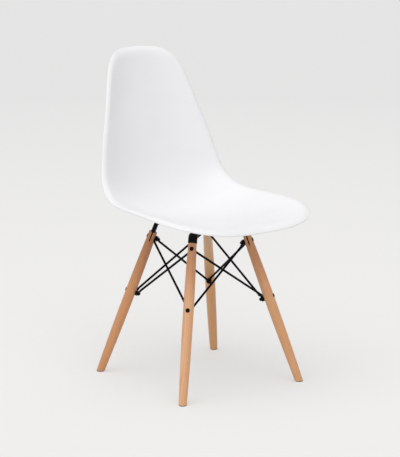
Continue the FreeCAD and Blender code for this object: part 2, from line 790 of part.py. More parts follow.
def frame_bar(name, height):
    """Half the bar swept from its middle to a leg's top, then mirrored."""
    body = new_body(name)
    section = new_sketch(body, name + "_section", "YZ_Plane")
    half_width = "(<tube_width> / 2)"
    top = f"({height} + <tube_height> / 2)"
    bottom = f"({height} - <tube_height> / 2)"
    cut = "<tube_corner>"
    polygon(section, [
        (f"({cut} - {half_width})", bottom),
        (f"({half_width} - {cut})", bottom),
        (half_width, f"({bottom} + {cut})"),
        (half_width, f"({top} - {cut})"),
        (f"({half_width} - {cut})", top),
        (f"({cut} - {half_width})", top),
        (f"(-{half_width})", f"({top} - {cut})"),
        (f"(-{half_width})", f"({bottom} + {cut})"),
    ])
    rectangle(
        section,
        f"(<tube_wall> - {half_width})",
        f"({bottom} + <tube_wall>)",
        f"({half_width} - <tube_wall>)",
        f"({top} - <tube_wall>)",
    )
    path = new_sketch(body, name + "_path", "XZ_Plane")
    rise = f"({height} - <leg_top_height>)"
    corner = (f"(<top_radius> - {rise} * tan({TILT}))", height)
    setback = f"(<tube_bend> * tan((90 deg - {TILT}) / 2))"
    flat_end = (f"({corner[0]} - {setback})", height)
    slope_start = (
        f"({corner[0]} + {setback} * sin({TILT}))",
        f"({height} - {setback} * cos({TILT}))",
    )
    slope_end = ("<top_radius>", "<leg_top_height>")
    middle = Vector(0, size(height), 0)
    turn_in = Vector(size(flat_end[0]), size(flat_end[1]), 0)
    turn_out = Vector(size(slope_start[0]), size(slope_start[1]), 0)
    end = Vector(size(slope_end[0]), size(slope_end[1]), 0)
    bend = size("<tube_bend>")
    centre = turn_in - Vector(0, bend, 0)
    arc = Part.Circle(centre, Vector(0, 0, 1), bend)
    start_angle = math.atan2(turn_out.y - centre.y, turn_out.x - centre.x)
    path.addGeometry(Part.LineSegment(middle, turn_in), False)
    path.addGeometry(Part.ArcOfCircle(arc, start_angle, math.pi / 2), False)
    path.addGeometry(Part.LineSegment(turn_out, end), False)
    path.addConstraint(Sketcher.Constraint("Coincident", 0, 2, 1, 2))
    path.addConstraint(Sketcher.Constraint("Coincident", 1, 1, 2, 1))
    for geometry, point, (x, y) in (
        (0, 1, ("0", height)),
        (0, 2, flat_end),
        (2, 1, slope_start),
        (2, 2, slope_end),
    ):
        hold(path, "DistanceX", geometry, point, x)
        hold(path, "DistanceY", geometry, point, y)
    hold(path, "DistanceX", 1, 3, flat_end[0])
    pipe = body.newObject("PartDesign::AdditivePipe", name + "_pipe")
    pipe.Profile = section
    pipe.Spine = (path, ["Edge1", "Edge2", "Edge3"])
    doc.recompute()
    mirror = body.newObject("PartDesign::Mirrored", name + "_other_half")
    mirror.Originals = [pipe]
    mirror.MirrorPlane = (origin_plane(body, "YZ_Plane"), [""])
    body.Tip = mirror
    doc.recompute()
    holes = new_sketch(body, name + "_holes", "XY_Plane")
    screw_hole = "(<seat_screw_r> + <seat_screw_play>)"
    circle(holes, "<seat_screw_circle>", "0", screw_hole)
    circle(holes, "(-<seat_screw_circle>)", "0", screw_hole)
    circle(holes, "0", "0", "(<rivet_r> + 0.1)")
    pocket(body, holes, "450", reverse=True)
    return body


lower_bar = frame_bar("frame_bar_lower", LOWER_BAR)
upper_bar = frame_bar("frame_bar_upper", UPPER_BAR)
lower_bar.Placement = stance_place(CORNERS["rear_left"])
upper_bar.Placement = stance_place(CORNERS["front_left"])

# Rivet through the crossing of the two bars
rivet = new_body("frame_center_rivet")
outline = new_sketch(rivet, "rivet_outline", "XZ_Plane")
rivet_low = f"({LOWER_BAR} - <tube_height> / 2)"
rivet_high = f"({UPPER_BAR} + <tube_height> / 2)"
polygon(outline, [
    ("0", f"({rivet_low} - <rivet_head_height>)"),
    ("(<rivet_head_r> * 0.6)", f"({rivet_low} - <rivet_head_height>)"),
    ("<rivet_head_r>", f"({rivet_low} - <rivet_head_height> * 0.35)"),
    ("<rivet_head_r>", rivet_low),
    ("<rivet_r>", rivet_low),
    ("<rivet_r>", rivet_high),
    ("<rivet_head_r>", rivet_high),
    ("<rivet_head_r>", f"({rivet_high} + <rivet_head_height> * 0.35)"),
    ("(<rivet_head_r> * 0.6)", f"({rivet_high} + <rivet_head_height>)"),
    ("0", f"({rivet_high} + <rivet_head_height>)"),
])
revolve(rivet, outline)
rivet.Placement = stance_place(0)
doc.recompute()

# Seat screws, washers, rubber spacers and threaded inserts, each stack upright on one axis


def turned(name, points):
    """Piece turned round the Z axis from a half outline."""
    body = new_body(name)
    half = new_sketch(body, name + "_outline", "XZ_Plane")
    polygon(half, points)
    revolve(body, half)
    return body


def seat_screw(name, bar_height):
    """Screw from under a bar up into the shell's insert, with a hexagon socket."""
    washer_face = f"({bar_height} - <tube_height> / 2 - <screw_washer_height>)"
    tip = f"({BOSS_FACE} + <insert_length> - 0.8)"
    body = turned(name, [
        ("0", f"({washer_face} - <screw_head_height>)"),
        ("(<screw_head_r> * 0.7)", f"({washer_face} - <screw_head_height>)"),
        ("<screw_head_r>", f"({washer_face} - <screw_head_height> * 0.5)"),
        ("<screw_head_r>", washer_face),
        ("<seat_screw_r>", washer_face),
        ("<seat_screw_r>", f"({tip} - 0.6)"),
        ("(<seat_screw_r> - 0.6)", tip),
        ("0", tip),
    ])
    socket = new_sketch(
        body, name + "_socket", "XY_Plane", f"({washer_face} - <screw_head_height>)"
    )
    hexagon(socket, "<screw_socket>")
    pocket(body, socket, "2", reverse=True)
    return body


def screw_washer(name, bar_height):
    bar_face = f"({bar_height} - <tube_height> / 2)"
    hole = "(<seat_screw_r> + <seat_screw_play>)"
    return turned(name, [
        (hole, f"({bar_face} - <screw_washer_height>)"),
        ("<screw_washer_r>", f"({bar_face} - <screw_washer_height>)"),
        ("<screw_washer_r>", bar_face),
        (hole, bar_face),
    ])


def spacer(name, bar_height):
    """Rubber spacer from the top of a bar to the shell's boss, with a shallow waist."""
    low = f"({bar_height} + <tube_height> / 2)"
    high = BOSS_FACE
    hole = "(<seat_screw_r> + <seat_screw_play>)"
    return turned(name, [
        (hole, low),
        ("<spacer_r>", low),
        ("<spacer_r>", f"({low} + 1.2)"),
        ("(<spacer_r> - 0.8)", f"({low} + 2)"),
        ("(<spacer_r> - 0.8)", f"({high} - 2)"),
        ("<spacer_r>", f"({high} - 1.2)"),
        ("<spacer_r>", high),
        (hole, high),
    ])


long_screw = seat_screw("long_screw", LOWER_BAR)
short_screw = seat_screw("short_screw", UPPER_BAR)
low_washer = screw_washer("low_washer", LOWER_BAR)
high_washer = screw_washer("high_washer", UPPER_BAR)
tall_spacer = spacer("tall_spacer", LOWER_BAR)
thin_spacer = spacer("thin_spacer", UPPER_BAR)
insert = turned("insert", [
    ("(<seat_screw_r> + 0.1)", BOSS_FACE),
    ("<insert_r>", BOSS_FACE),
    ("<insert_r>", f"({BOSS_FACE} + <insert_length>)"),
    ("(<seat_screw_r> + 0.1)", f"({BOSS_FACE} + <insert_length>)"),
])
doc.recompute()


# Brace rods


def rod_end(corner, upper, layer):
    """Middle of an eye and the outward direction of its bolt, for a layer counted from the leg."""
    frame = leg_place(CORNERS[corner])
    leg_r = size(LEG_R_UPPER) if upper else size("<leg_waist_r>")
    height = size(UPPER_BOLT) if upper else size(LOWER_BOLT)
    eye = size("<eye_height>")
    first = leg_r - size("<washer_recess>") + size("<washer_height>") + eye / 2
    inward = first + layer * (eye + size("<eye_gap>"))
    middle = frame.multVec(Vector(-inward, 0, height))
    return middle, frame.Rotation.multVec(Vector(1, 0, 0))


def rod_section(centre, way, side):
    """Round section across a rod, with its seam on the given side."""
    section = Part.Wire([Part.makeCircle(size("<rod_r>"))])
    section.Placement = Placement(centre, Rotation(side, way.cross(side), way, "ZXY"))
    return section


def rod_shape(start, end, shift):
    """Rod with a flattened eye at both ends. The shift moves it along the bolts, off its eyes."""
    (first, first_bolt), (last, last_bolt) = start, end
    knee_out = size("<rod_knee>")
    neck = size("<eye_neck>")
    eye_reach = size("<eye_reach>")
    eye_r = size("<eye_r>")
    thick = size("<eye_height>")

    def leave(point, bolt, other):
        """Direction in the eye's own plane towards the other end."""
        across = other - point
        return (across - bolt * across.dot(bolt)).normalize()

    first_way = leave(first, first_bolt, last)
    last_way = leave(last, last_bolt, first)
    knees = [
        first + first_way * knee_out + first_bolt * shift,
        last + last_way * knee_out + last_bolt * shift,
    ]
    joints = [
        first + first_way * eye_reach + first_bolt * shift,
        last + last_way * eye_reach + last_bolt * shift,
    ]
    route = [joints[0], knees[0], knees[1], joints[1]]
    bend = size("<rod_knee_r>")
    edges = []
    here = route[0]
    for i in (1, 2):
        back = (route[i - 1] - route[i]).normalize()
        on = (route[i + 1] - route[i]).normalize()
        half = back.getAngle(on) / 2
        setback = bend / math.tan(half)
        centre = route[i] + (back + on).normalize() * (bend / math.sin(half))
        middle = centre + (route[i] - centre).normalize() * bend
        arc_start = route[i] + back * setback
        arc_end = route[i] + on * setback
        edges.append(Part.makeLine(here, arc_start))
        edges.append(Part.Arc(arc_start, middle, arc_end).toShape())
        here = arc_end
    edges.append(Part.makeLine(here, route[3]))
    path = Part.Wire(edges)
    section = rod_section(joints[0], first_way, first_bolt.cross(first_way))
    rod = path.makePipeShell([section], True, False)
    pieces = []
    bores = []
    for middle, bolt, way, joint in (
        (first, first_bolt, first_way, joints[0]),
        (last, last_bolt, last_way, joints[1]),
    ):
        side = bolt.cross(way)
        root = middle + way * neck
        half_chord = math.sqrt(eye_r ** 2 - neck ** 2)
        flat = Part.Ellipse(root + side * half_chord, root + bolt * (thick / 2), root)
        sections = [
            Part.Wire([flat.toShape()]),
            rod_section(joint, way, side),
        ]
        pieces.append(Part.makeLoft(sections, True, True))
        pieces.append(Part.makeCylinder(eye_r, thick, middle - bolt * (thick / 2), bolt))
        bores.append(Part.makeCylinder(size(BORE_R), 20, middle - bolt * 10, bolt))
    solid = rod.fuse(pieces)
    for bore in bores:
        solid = solid.cut(bore)
    return solid.removeSplitter()


ROUND = ["front_right", "front_left", "rear_left", "rear_right"]
SIDE_NAMES = {
    ("front_right", "front_left"): "front",
    ("front_left", "rear_left"): "left",
    ("rear_left", "rear_right"): "rear",
    ("rear_right", "front_right"): "right",
}
rods = []
outer_shift = size("<outer_shift>")
inner_shift = size("<inner_shift>")
for i, corner in enumerate(ROUND):
    following = ROUND[(i + 1) % 4]
    side = SIDE_NAMES[(corner, following)]
    outer = doc.addObject("Part::Feature", f"rod_{side}_outer")
    outer.Label = f"rod_{side}_outer"
    outer.Shape = rod_shape(rod_end(corner, True, 0), rod_end(following, False, 0), -outer_shift)
    inner = doc.addObject("Part::Feature", f"rod_{side}_inner")
    inner.Label = f"rod_{side}_inner"
    inner.Shape = rod_shape(rod_end(following, True, 1), rod_end(corner, False, 1), -inner_shift)
    rods += [outer, inner]

# Pieces at each corner

nodes = [seat_shell, lower_bar, upper_bar, rivet] + rods
upper_bolts = []
lower_bolts = []
nuts = []
washers = []
eye_washers = []
nails = []
for corner, angle in CORNERS.items():
    frame = leg_place(angle)
    nodes.append(instance(f"leg_{corner}", leg_body, frame))
    nodes.append(instance(f"glide_{corner}", glide_body, stance_place(angle, size("<foot_radius>"))))
    nodes.append(instance(f"frame_tongue_{corner}", tongue_body, frame))
    nails.append(instance(f"nail_{corner}", nail_body, stance_place(angle, size("<foot_radius>"))))
    for level, height, leg_r, bolt, kept in (
        ("upper", UPPER_BOLT, LEG_R_UPPER, upper_bolt_body, upper_bolts),
        ("lower", LOWER_BOLT, "<leg_waist_r>", lower_bolt_body, lower_bolts),
    ):
        at_bolt = frame * Placement(Vector(0, 0, size(height)), Rotation())
        seat = size(f"{leg_r} - <washer_recess>")
        kept.append(instance(f"{level}_bolt_{corner}", bolt, at_bolt))
        at_washer = at_bolt * Placement(Vector(-seat, 0, 0), Rotation())
        washers.append(instance(f"{level}_washer_{corner}", washer_body, at_washer))
        first_eye = seat + size("<washer_height> + <eye_height>")
        at_gap = at_bolt * Placement(Vector(-first_eye, 0, 0), Rotation())
        eye_washers.append(instance(f"{level}_eye_washer_{corner}", eye_washer_body, at_gap))
        stack = size(f"{leg_r} + {STACK}")
        at_nut = at_bolt * Placement(Vector(-stack, 0, 0), Rotation())
        nuts.append(instance(f"{level}_nut_{corner}", nut_body, at_nut))

LOWER_ENDS = ("front_right", "rear_left")
stacks = {
    name: [] for name in (
        "seat_screws_long", "seat_screws_short", "seat_screw_washers",
        "spacers_tall", "spacers_thin", "shell_inserts",
    )
}
for corner, place in boss_places.items():
    low = corner in LOWER_ENDS
    for kept, master in (
        ("seat_screws_long" if low else "seat_screws_short", long_screw if low else short_screw),
        ("seat_screw_washers", low_washer if low else high_washer),
        ("spacers_tall" if low else "spacers_thin", tall_spacer if low else thin_spacer),
        ("shell_inserts", insert),
    ):
        stacks[kept].append(instance(f"{master.Name}_{corner}", master, place))

nodes.append(group("leg_bolts_upper", upper_bolts))
nodes.append(group("leg_bolts_lower", lower_bolts))
nodes.append(group("leg_cap_nuts", nuts))
nodes.append(group("leg_washers", washers))
nodes.append(group("rod_eye_washers", eye_washers))
nodes.append(group("glide_nails", nails))
for name, members in stacks.items():
    nodes.append(group(name, members))
doc.recompute()

# Check and write

for made in doc.Objects:
    if "Invalid" in made.State or "Error" in made.State:
        raise RuntimeError(f"{made.Name} failed: {made.State}")
os.makedirs("parts", exist_ok=True)
for node in nodes:
    shape = node.Shape
    if shape.isNull() or not shape.isValid() or not shape.Solids:
        raise RuntimeError(f"{node.Label} has no valid solid")
    shape.exportStep(os.path.join("parts", node.Label + ".step"))
    print(node.Label, len(shape.Solids), round(shape.Volume, 1))
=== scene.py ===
# %% [markdown]
# # A moulded shell chair on dowel legs
#
# This lesson dresses and finishes a side chair: one moulded plastic shell, four turned
# beech legs, and black steel bars and rods that hold them together. The measured model
# was made in a CAD program. Here each of its pieces gets the surface that it has on the
# real chair, and the shell, which needs a softer form, is modelled again.
#
# The first cell empties Blender's starting scene, so that the cube, lamp and camera that
# it comes with are never measured or rendered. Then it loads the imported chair. Every CAD
# piece arrives with its place already in its mesh, in metres.

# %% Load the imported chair
import json
import math

import bmesh
import bpy
import numpy as np
from mathutils import Euler, Matrix, Vector

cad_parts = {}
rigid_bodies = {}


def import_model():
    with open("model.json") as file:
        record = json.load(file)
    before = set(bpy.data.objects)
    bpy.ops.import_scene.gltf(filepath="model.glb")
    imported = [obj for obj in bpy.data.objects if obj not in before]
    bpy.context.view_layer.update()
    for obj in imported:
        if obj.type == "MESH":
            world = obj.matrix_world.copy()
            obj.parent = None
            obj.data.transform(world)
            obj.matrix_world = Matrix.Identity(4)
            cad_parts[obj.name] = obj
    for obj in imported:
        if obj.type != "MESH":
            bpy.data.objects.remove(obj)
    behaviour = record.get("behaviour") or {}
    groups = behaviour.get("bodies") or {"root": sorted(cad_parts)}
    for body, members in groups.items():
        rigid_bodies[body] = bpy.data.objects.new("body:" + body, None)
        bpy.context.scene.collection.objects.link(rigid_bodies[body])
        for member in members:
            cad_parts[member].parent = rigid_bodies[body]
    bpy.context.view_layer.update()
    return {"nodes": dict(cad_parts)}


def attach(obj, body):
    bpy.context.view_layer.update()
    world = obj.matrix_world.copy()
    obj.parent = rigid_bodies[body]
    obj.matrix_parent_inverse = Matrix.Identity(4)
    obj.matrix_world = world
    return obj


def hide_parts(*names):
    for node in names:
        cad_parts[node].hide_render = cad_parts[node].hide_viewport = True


for leftover in list(bpy.data.objects):
    bpy.data.objects.remove(leftover)
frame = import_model()
cad = frame["nodes"]
print("pieces in the frame:", len(cad))

# %% [markdown]
# ## The camera
#
# The photograph was taken from well above seat height, about five metres away, with a
# long lens. A long lens keeps the legs from leaning apart, which is why product
# photographers use one. The place, aim and lens come from a fit to the four feet and the
# tops of the legs. The camera could also be aimed by eye in the viewport, but a chair
# seen at an angle shows an error of one degree at once.

# %% Place the camera
CAMERA_PLACE = Vector((-2.8566, -3.9159, 1.4357))
CAMERA_YAW = math.radians(36.24)
CAMERA_PITCH = math.radians(12.22)
CAMERA_ROLL = math.radians(0.39)
LENS_MM = 153.26
SENSOR_MM = 36

camera_data = bpy.data.cameras.new("long_lens")
camera_data.lens = LENS_MM
camera_data.sensor_fit = "VERTICAL"
camera_data.sensor_height = SENSOR_MM
camera = bpy.data.objects.new("camera", camera_data)
aim = Euler((math.pi / 2 - CAMERA_PITCH, 0, -CAMERA_YAW), "XYZ").to_matrix()
roll = Matrix.Rotation(CAMERA_ROLL, 3, "Z")
camera.matrix_world = Matrix.Translation(CAMERA_PLACE) @ (aim @ roll).to_4x4()
bpy.context.scene.collection.objects.link(camera)
bpy.context.scene.camera = camera
print("camera distance from the chair:", round(CAMERA_PLACE.length, 2), "m")

# %% [markdown]
# ## Small helpers for materials
#
# Every finish below starts from the same two nodes: a Principled shader and an output.
# Patterns that several finishes share are shader groups, which start from two nodes of
# their own. A helper adds a node, sets its values and returns it, which keeps each recipe
# short enough to read.

# %% Start a material or a group
def add_node(tree, kind, **values):
    """New node in a tree, with values for its properties."""
    node = tree.nodes.new(kind)
    for name, value in values.items():
        setattr(node, name, value)
    return node


def start_material(name):
    """Empty material with a Principled shader, and that shader."""
    material = bpy.data.materials.new(name)
    material.use_nodes = True
    tree = material.node_tree
    tree.nodes.clear()
    output = add_node(tree, "ShaderNodeOutputMaterial")
    shader = add_node(tree, "ShaderNodeBsdfPrincipled")
    tree.links.new(shader.outputs["BSDF"], output.inputs["Surface"])
    return material, shader


def start_group(name, inputs, outputs):
    """Empty shader group with named sockets, and its input and output nodes."""
    tree = bpy.data.node_groups.new(name, "ShaderNodeTree")
    for direction, sockets in (("INPUT", inputs), ("OUTPUT", outputs)):
        for socket_name, kind in sockets:
            tree.interface.new_socket(socket_name, in_out=direction, socket_type=kind)
    return tree, add_node(tree, "NodeGroupInput"), add_node(tree, "NodeGroupOutput")


print("helpers made:", add_node.__name__, start_material.__name__, start_group.__name__)

# %% [markdown]
# A pattern is a chain of small sums: a noise gives a number at each place, a range
# stretches it, and a mix turns it into a colour. Each helper here adds one such node. A
# value may be a plain number, which is set on the node, or another node's result, which
# is linked to it. A Mix node has sockets for numbers, vectors and colours under the same
# names, so those for colours are picked by their place in the list.

# %% Nodes that do the sums
MIX_SHARE, MIX_FIRST, MIX_SECOND, MIX_RESULT = 0, 6, 7, 2


def feed(tree, value, socket):
    """Sets a plain number or colour on a socket, or links another node's result to it."""
    if isinstance(value, (int, float, tuple)):
        socket.default_value = value
    else:
        tree.links.new(value, socket)


def maths(tree, operation, *values):
    """Math node on numbers or sockets, and its result."""
    node = add_node(tree, "ShaderNodeMath", operation=operation)
    for value, socket in zip(values, node.inputs):
        feed(tree, value, socket)
    return node.outputs[0]


def blend_colours(tree, share, first, second):
    """Mix node for two colours, and its result. A share of 1 is the second colour."""
    node = add_node(tree, "ShaderNodeMix", data_type="RGBA")
    for place, value in ((MIX_SHARE, share), (MIX_FIRST, first), (MIX_SECOND, second)):
        feed(tree, value, node.inputs[place])
    return node.outputs[MIX_RESULT]


def map_range(tree, value, low, high, to_low=0.0, to_high=1.0, smooth=False):
    """Value moved from one range to another, held inside it."""
    node = add_node(tree, "ShaderNodeMapRange")
    node.interpolation_type = "SMOOTHSTEP" if smooth else "LINEAR"
    for name, number in (
        ("Value", value), ("From Min", low), ("From Max", high),
        ("To Min", to_low), ("To Max", to_high),
    ):
        feed(tree, number, node.inputs[name])
    return node.outputs["Result"]


def noise(tree, vector, scale, detail=2.0, roughness=0.5):
    """Noise at a scale in cells per metre, as a number from 0 to 1."""
    node = add_node(tree, "ShaderNodeTexNoise")
    for name, value in (
        ("Vector", vector), ("Scale", scale), ("Detail", detail), ("Roughness", roughness)
    ):
        feed(tree, value, node.inputs[name])
    return node.outputs["Fac"]


print("helpers made:", [made.__name__ for made in (maths, blend_colours, map_range, noise)])

# %% [markdown]
# ## A group for moulded, painted and plated surfaces
#
# No real surface is one colour all over. Plastic shows faint clouds of lighter and
# darker pigment and a very fine skin from the mould. Powder paint has a shallow orange
# peel. Plating has both. The same node group does all of these: clouds drive a colour
# and a roughness, and a fine grain drives the height for a Bump node. Each material gives
# it its own colours and sizes.

# %% Build the surface group
CLOUD_DETAIL = 3.0
CLOUD_RANGE = (0.35, 0.68)
GRAIN_DETAIL = 4.0
GRAIN_IN_WEAR = 0.5
CLOUDS_IN_WEAR = 0.5
WEAR_RANGE = (0.35, 0.65)
SURFACE_INPUTS = [
    ("Vector", "NodeSocketVector"),
    ("Main Colour", "NodeSocketColor"),
    ("Cloud Colour", "NodeSocketColor"),
    ("Cloud Scale", "NodeSocketFloat"),
    ("Grain Scale", "NodeSocketFloat"),
    ("Low Roughness", "NodeSocketFloat"),
    ("High Roughness", "NodeSocketFloat"),
]
SURFACE_OUTPUTS = [
    ("Colour", "NodeSocketColor"),
    ("Roughness", "NodeSocketFloat"),
    ("Height", "NodeSocketFloat"),
]
surface_group, given, made = start_group("surface_skin", SURFACE_INPUTS, SURFACE_OUTPUTS)
skin_place = given.outputs["Vector"]
clouds = noise(surface_group, skin_place, given.outputs["Cloud Scale"], CLOUD_DETAIL)
cloud_share = map_range(surface_group, clouds, *CLOUD_RANGE, smooth=True)
cloud_colour = blend_colours(
    surface_group, cloud_share, given.outputs["Main Colour"], given.outputs["Cloud Colour"]
)
grain = noise(surface_group, skin_place, given.outputs["Grain Scale"], GRAIN_DETAIL)
worn = maths(
    surface_group, "MULTIPLY_ADD", grain, GRAIN_IN_WEAR,
    maths(surface_group, "MULTIPLY", clouds, CLOUDS_IN_WEAR),
)
skin_roughness = map_range(
    surface_group, worn, *WEAR_RANGE,
    given.outputs["Low Roughness"], given.outputs["High Roughness"],
)
surface_group.links.new(cloud_colour, made.inputs["Colour"])
surface_group.links.new(skin_roughness, made.inputs["Roughness"])
surface_group.links.new(grain, made.inputs["Height"])
print("surface group nodes:", len(surface_group.nodes))

# %% [markdown]
# A material places the group, gives it this finish's values and leads its three results
# to the shader. The height goes through a Bump node, which tilts the light on the grain
# without moving the surface. What is the same all over, such as the metal or the index
# of refraction, is set on the shader itself.

# %% Recipe that puts the surface group in a material
SKIN_BUMP = 0.6


def lead_to_shader(tree, group, shader, bump_strength, bump_height):
    """Links a group's colour, roughness and height to the shader. The height is in metres."""
    bump = add_node(tree, "ShaderNodeBump")
    bump.inputs["Strength"].default_value = bump_strength
    bump.inputs["Distance"].default_value = bump_height
    for result, socket in (
        (group.outputs["Colour"], shader.inputs["Base Color"]),
        (group.outputs["Roughness"], shader.inputs["Roughness"]),
        (group.outputs["Height"], bump.inputs["Height"]),
        (bump.outputs["Normal"], shader.inputs["Normal"]),
    ):
        tree.links.new(result, socket)


def skin_material(name, main, cloud, clouds_per_m, grains_per_m, rough, bump_mm, **sockets):
    """Material from the surface group. Sockets are plain numbers for the shader itself."""
    material, shader = start_material(name)
    tree = material.node_tree
    place = add_node(tree, "ShaderNodeTexCoord")
    group = add_node(tree, "ShaderNodeGroup", node_tree=surface_group)
    tree.links.new(place.outputs["Object"], group.inputs["Vector"])
    for socket, value in (
        ("Main Colour", main), ("Cloud Colour", cloud),
        ("Cloud Scale", clouds_per_m), ("Grain Scale", grains_per_m),
        ("Low Roughness", rough[0]), ("High Roughness", rough[1]),
    ):
        group.inputs[socket].default_value = value
    lead_to_shader(tree, group, shader, SKIN_BUMP, bump_mm / 1000)
    for socket, value in sockets.items():
        shader.inputs[socket.replace("_", " ")].default_value = value
    return material


def dress(names, material):
    """Gives CAD pieces their finish. Their meshes stay as they are."""
    for name in names:
        slots = cad[name].material_slots
        if not slots:
            cad[name].data.materials.append(material)
        for slot in slots:
            slot.material = material
    print(material.name, "on", ", ".join(names))


print("each finish sets:", [name for name, _ in SURFACE_INPUTS[1:]])

# %% [markdown]
# ## The white shell
#
# The seat is injection-moulded polypropylene: near white, with a satin gloss that leaves
# wide soft highlights. A shiny shader alone looks like glass paint, so
# the roughness wanders a little and a very shallow grain breaks up the highlight, as the
# texture of the mould does on the real one.

# %% Shell plastic
shell_plastic = skin_material(
    "white_polypropylene",
    main=(0.9, 0.9, 0.915, 1), cloud=(0.885, 0.885, 0.898, 1),
    clouds_per_m=9, grains_per_m=1400, rough=(0.33, 0.43), bump_mm=0.05,
    IOR=1.49,
)
dress(["seat_shell"], shell_plastic)

# %% [markdown]
# ## The seat shell
#
# On the real chair the shell is one injection moulding, about five millimetres thick: a
# seat that dips, a back that rises out of it, and sides that climb to an edge that curls
# over into a lip. In Blender such a form can be pulled out of a subdivided cube, sculpted,
# or pressed like sheet metal. Pressing is the surest way to a measured shape. A flat blank
# is cut to the outline, as if the shell were unrolled along its middle line, and then one
# rule lifts every point of the blank to its place. The wall gets its thickness last.
#
# The middle line is a smooth curve through ten measured points. It needs a helper that
# draws a cubic through points, open for the middle line and closed for the outline.

# %% A smooth curve through measured points
def smooth_curve(points, closed=False):
    """Cubic curve through points: a function of distance, and its last distance."""
    held = np.array(points + points[:1] if closed else points, float)
    steps = np.linalg.norm(np.diff(held, axis=0), axis=1)
    marks = np.concatenate([[0], np.cumsum(steps)])
    count = len(held) - 1 if closed else len(held)
    slopes_of = np.zeros((count, count))
    wanted = np.zeros((count, held.shape[1]))
    for i in range(count):
        if not closed and i in (0, count - 1):
            near = slice(0, 4) if i == 0 else slice(count - 4, count)
            slopes_of[i, i] = 1
            for axis in range(held.shape[1]):
                fit = np.polyfit(marks[near] - marks[i], held[near, axis], 3)
                wanted[i, axis] = fit[2]
            continue
        before, after = steps[i - 1], steps[i]
        slopes_of[i, (i - 1) % count] += 1 / before
        slopes_of[i, i] += 2 / before + 2 / after
        slopes_of[i, (i + 1) % count] += 1 / after
        fall = held[i] - held[(i - 1) % count]
        wanted[i] = 3 * fall / before ** 2 + 3 * (held[i + 1] - held[i]) / after ** 2
    slopes = np.linalg.solve(slopes_of, wanted)

    def place(distance):
        distance = np.clip(np.atleast_1d(distance), 0, marks[-1])
        i = np.clip(np.searchsorted(marks, distance, side="right") - 1, 0, len(steps) - 1)
        step = steps[i][:, None]
        t = ((distance - marks[i]) / steps[i])[:, None]
        start, end = held[i], held[i + 1]
        leave, arrive = slopes[i] * step, slopes[(i + 1) % count] * step
        return (
            start * (1 + 2 * t) * (1 - t) ** 2 + leave * t * (1 - t) ** 2
            + end * t * t * (3 - 2 * t) + arrive * t * t * (t - 1)
        )

    return place, marks[-1]


bow_place, bow_span = smooth_curve([(0, 0), (3, 4), (6, 4), (9, 0)])
print("halfway along a test curve:", np.round(bow_place(bow_span / 2)[0], 2))

# %% [markdown]
# The measures are in millimetres. The middle line is given as depth and height over the
# faces of the bosses, from the front edge along the seat and up the back. The edge line
# gives the outline of the unrolled blank: the distance along the middle line, the half
# width there, and how far the edge climbs. The other half of the outline is its mirror
# image.

# %% The shell's measures
BOSS_FACE = 412.0
MIDDLE_LINE = [
    (-272, 10), (-200, 16), (-85, 14), (30, 10.5), (106, 23),
    (160, 60), (190, 118), (217, 208), (245, 310), (274.6, 412),
]
EDGE_LINE = [
    (0, 0, 0), (4, 110, 4), (34, 179, 13), (94, 216, 20.5), (165, 224.5, 28),
    (256, 220, 34), (350, 209, 34), (469, 190, 32.5), (583, 165.5, 35.5),
    (690, 134.5, 33), (762, 112, 27), (797, 88, 18), (815, 40, 3), (817.4, 0, 0),
]
DEEPEST = 272.0
DISH_POWER = 2.6
LIP_WIDTH = 23.0
LIP_DROP = 11.5
WALL = 4.8
FINE_STEPS = 4000

middle_place, middle_span = smooth_curve(MIDDLE_LINE)
middle = middle_place(np.linspace(0, middle_span, FINE_STEPS))
middle_run = np.concatenate(
    [[0], np.cumsum(np.linalg.norm(np.diff(middle, axis=0), axis=1))]
)
mirrored = [(along, -wide, rise) for along, wide, rise in EDGE_LINE[-2:0:-1]]
edge_place, edge_span = smooth_curve(EDGE_LINE + mirrored, closed=True)
edge_half = edge_place(np.linspace(0, edge_span / 2, FINE_STEPS))
print("length of the shell along its middle:", round(middle_run[-1], 1), "mm")

# %% [markdown]
# The rule that presses the blank has three parts. A point's distance along the blank
# gives its place on the middle line. Its distance from the middle, as a share of the
# half width there, gives how far it climbs towards the edge. Close to the edge a third
# part bends the wall over, which makes the lip.

# %% The rule that presses the blank
turns = np.arctan2(edge_half[:, 1], edge_half[:, 0] - DEEPEST)
order = np.argsort(turns)
edge_turn = turns[order]
edge_reaches = np.hypot(edge_half[:, 0] - DEEPEST, edge_half[:, 1])[order]


def on_middle_line(distance):
    """Depth and height of the middle line at a distance from its front end."""
    held = np.clip(distance, 0, middle_run[-1])
    return np.array([np.interp(held, middle_run, middle[:, axis]) for axis in (0, 1)])


def pressed(along, across):
    """Place in the chair, in metres, of a point on the flat blank given in millimetres."""
    at = np.clip(along, 0, middle_run[-1])
    depth, height = on_middle_line(at)
    chord = on_middle_line(at + 1) - on_middle_line(at - 1)
    way_y, way_z = chord / math.hypot(*chord)
    wide = max(np.interp(at, edge_half[:, 0], edge_half[:, 1]), 1.0)
    climb = np.interp(at, edge_half[:, 0], edge_half[:, 2])
    reach = math.hypot(along - DEEPEST, across)
    turn = math.atan2(across, along - DEEPEST)
    edge_reach = np.interp(abs(turn), edge_turn, edge_reaches)
    share = min(reach / edge_reach, 1.0)
    curl = max(0.0, 1 - (edge_reach - reach) / LIP_WIDTH)
    rise = climb * min(abs(across) / wide, 1.0) ** DISH_POWER
    rise += LIP_DROP * (share ** DISH_POWER - curl ** 2)
    past = along - at
    return Vector((
        across,
        depth + way_y * past - way_z * rise,
        BOSS_FACE + height + way_z * past + way_y * rise,
    )) / 1000


print("top of the back:", [round(v, 4) for v in pressed(EDGE_LINE[-1][0], 0)])

